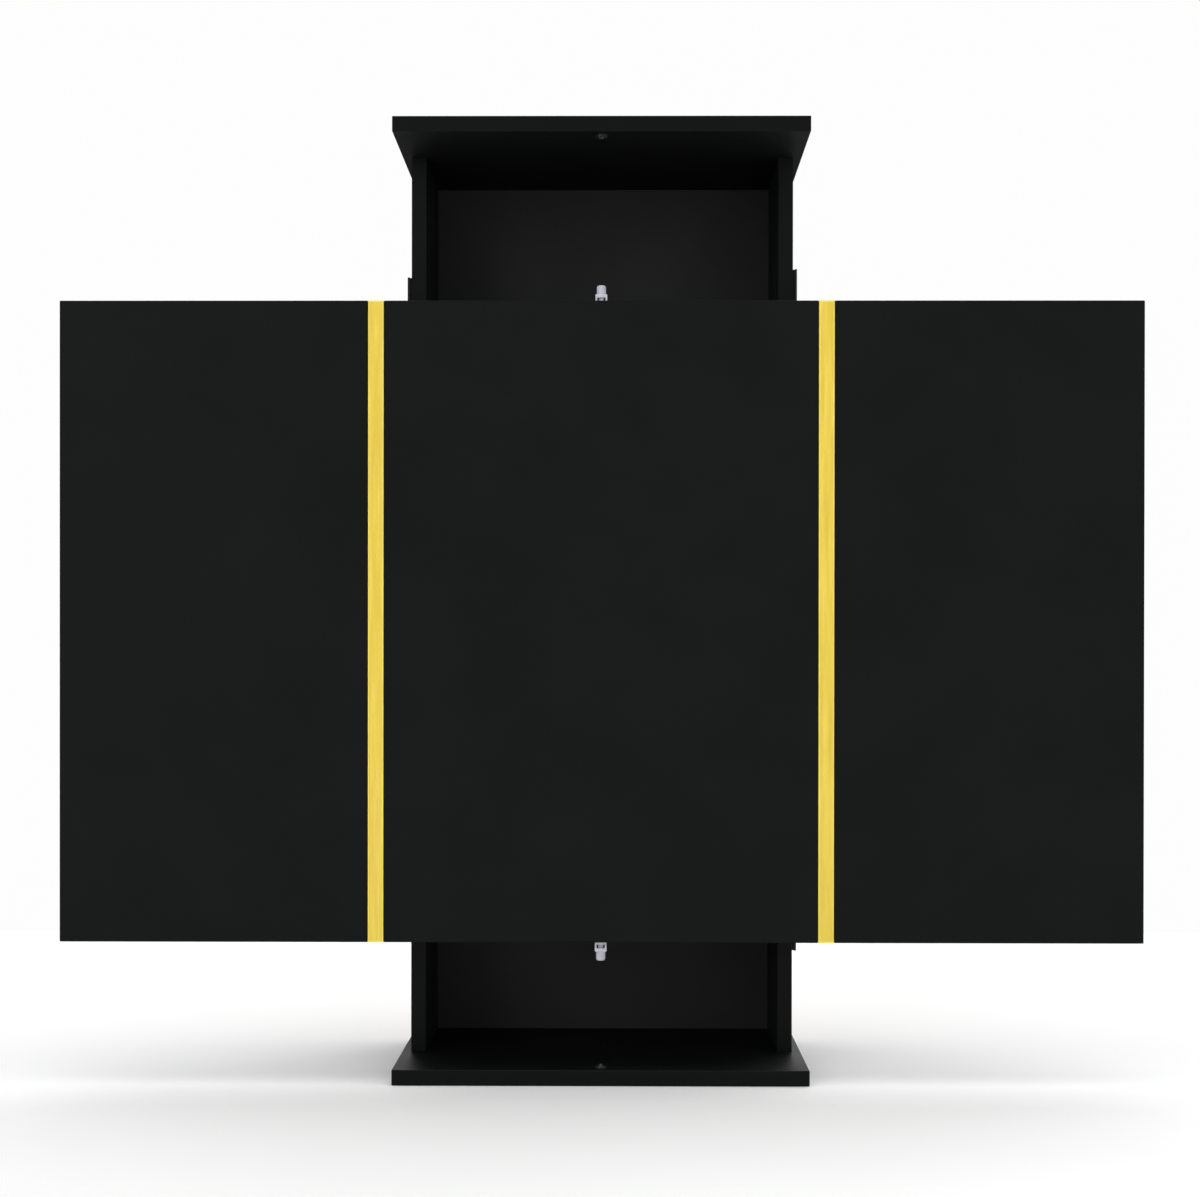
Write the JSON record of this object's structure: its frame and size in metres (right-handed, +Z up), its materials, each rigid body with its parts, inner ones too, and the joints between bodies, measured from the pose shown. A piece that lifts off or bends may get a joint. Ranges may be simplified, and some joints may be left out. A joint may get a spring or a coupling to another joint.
{
  "type": "dart board cabinet",
  "caption": "Tall black wall cabinet: an open column carries a height-adjustable front panel whose hinged side wings, set off by yellow strips, fold back round the column.",
  "frame": {"origin": "middle of the underside of the bottom cap, directly under the centre of the bounding box", "axes": "+X to the right seen from the front with the wings open, -Y out of the front, +Y towards the wall, +Z up"},
  "size_m": [1.2586, 0.4, 1.1255],
  "materials": {
    "black_laminate": "satin black melamine laminate with fine pore texture, on 18 mm particle board",
    "black_panel": "flat matt black melamine laminate on 18 mm board, black edge band",
    "black_hardboard": "thin fibreboard with black foil face",
    "yellow_lacquer": "yellow lacquered timber strip, satin",
    "raw_board": "bare particle board, hidden side",
    "beech": "fluted beech dowel",
    "black_metal": "black powder-coated steel",
    "black_anodised": "black anodised aluminium extrusion",
    "zinc_steel": "bright zinc-plated steel",
    "spring_steel": "bright drawn spring wire",
    "strike_metal": "dark nickel-black steel plate",
    "grey_plastic": "light grey moulded plastic, fine matt texture",
    "nose_plastic": "light grey moulded plastic with shallow ribs",
    "white_nylon": "natural white nylon",
    "black_plastic": "black plastic cover cap",
    "black_rubber": "soft black rubber",
    "grey_felt": "dense grey brake felt"
  },
  "bodies": {
    "carcass": {"top_cap": "black_laminate", "bottom_cap": "black_laminate", "left_side": "black_laminate", "right_side": "black_laminate", "back_panel": "black_hardboard", "upper_hanging_rail": "raw_board", "lower_hanging_rail": "raw_board", "cap_screws": "zinc_steel", "cap_screw_covers": "black_plastic", "cap_dowels": "beech", "hanging_rail_dowels": "beech", "back_panel_screws": "black_metal", "left_slide_rail": "black_anodised", "right_slide_rail": "black_anodised", "slide_rail_screws": "zinc_steel", "upper_strike_plate": "strike_metal", "lower_strike_plate": "strike_metal", "strike_screws": "strike_metal"},
    "carriage": {"centre_panel": "black_panel", "left_cheek": "black_laminate", "right_cheek": "black_laminate", "cheek_dowels": "beech", "corner_brackets": "zinc_steel", "bracket_screws": "zinc_steel", "left_glides": "white_nylon", "right_glides": "white_nylon", "glide_screws": "zinc_steel", "brake_pads": "grey_felt", "brake_set_screws": "zinc_steel", "wing_buffers": "black_rubber", "left_hinge_cheek_leaf": "zinc_steel", "right_hinge_cheek_leaf": "zinc_steel", "left_hinge_pin": "zinc_steel", "right_hinge_pin": "zinc_steel", "cheek_hinge_screws": "zinc_steel", "upper_latch_housing": "grey_plastic", "lower_latch_housing": "grey_plastic", "upper_latch_spring": "spring_steel", "lower_latch_spring": "spring_steel", "latch_screws": "zinc_steel"},
    "left_wing": {"left_wing_panel": "black_panel", "left_hinge_stile": "yellow_lacquer", "left_hinge_wing_leaf": "zinc_steel", "left_wing_hinge_screws": "zinc_steel", "left_stile_dowels": "beech"},
    "right_wing": {"right_wing_panel": "black_panel", "right_hinge_stile": "yellow_lacquer", "right_hinge_wing_leaf": "zinc_steel", "right_wing_hinge_screws": "zinc_steel", "right_stile_dowels": "beech"},
    "upper_plunger": {"upper_latch_plunger": "nose_plastic"},
    "lower_plunger": {"lower_latch_plunger": "nose_plastic"}
  },
  "joints": [
    {"name": "carriage_slide", "type": "slide", "parent": "carcass", "child": "carriage", "axis": [0, 0, 1], "range_m": [-0.12, 0.17]},
    {"name": "left_wing_hinge", "type": "hinge", "parent": "carriage", "child": "left_wing", "pos_m": [-0.254, -0.179, 0.54], "axis": [0, 0, -1], "range_deg": [0, 90]},
    {"name": "right_wing_hinge", "type": "hinge", "parent": "carriage", "child": "right_wing", "pos_m": [0.254, -0.179, 0.54], "axis": [0, 0, 1], "range_deg": [0, 90]},
    {"name": "upper_latch_press", "type": "slide", "parent": "carriage", "child": "upper_plunger", "axis": [0, 0, -1], "range_m": [0, 0.008], "stiffness_N_per_m": 300, "springref_m": -0.006, "deforming": ["upper_latch_spring"]},
    {"name": "lower_latch_press", "type": "slide", "parent": "carriage", "child": "lower_plunger", "axis": [0, 0, 1], "range_m": [0, 0.008], "stiffness_N_per_m": 300, "springref_m": -0.006, "deforming": ["lower_latch_spring"]}
  ]
}
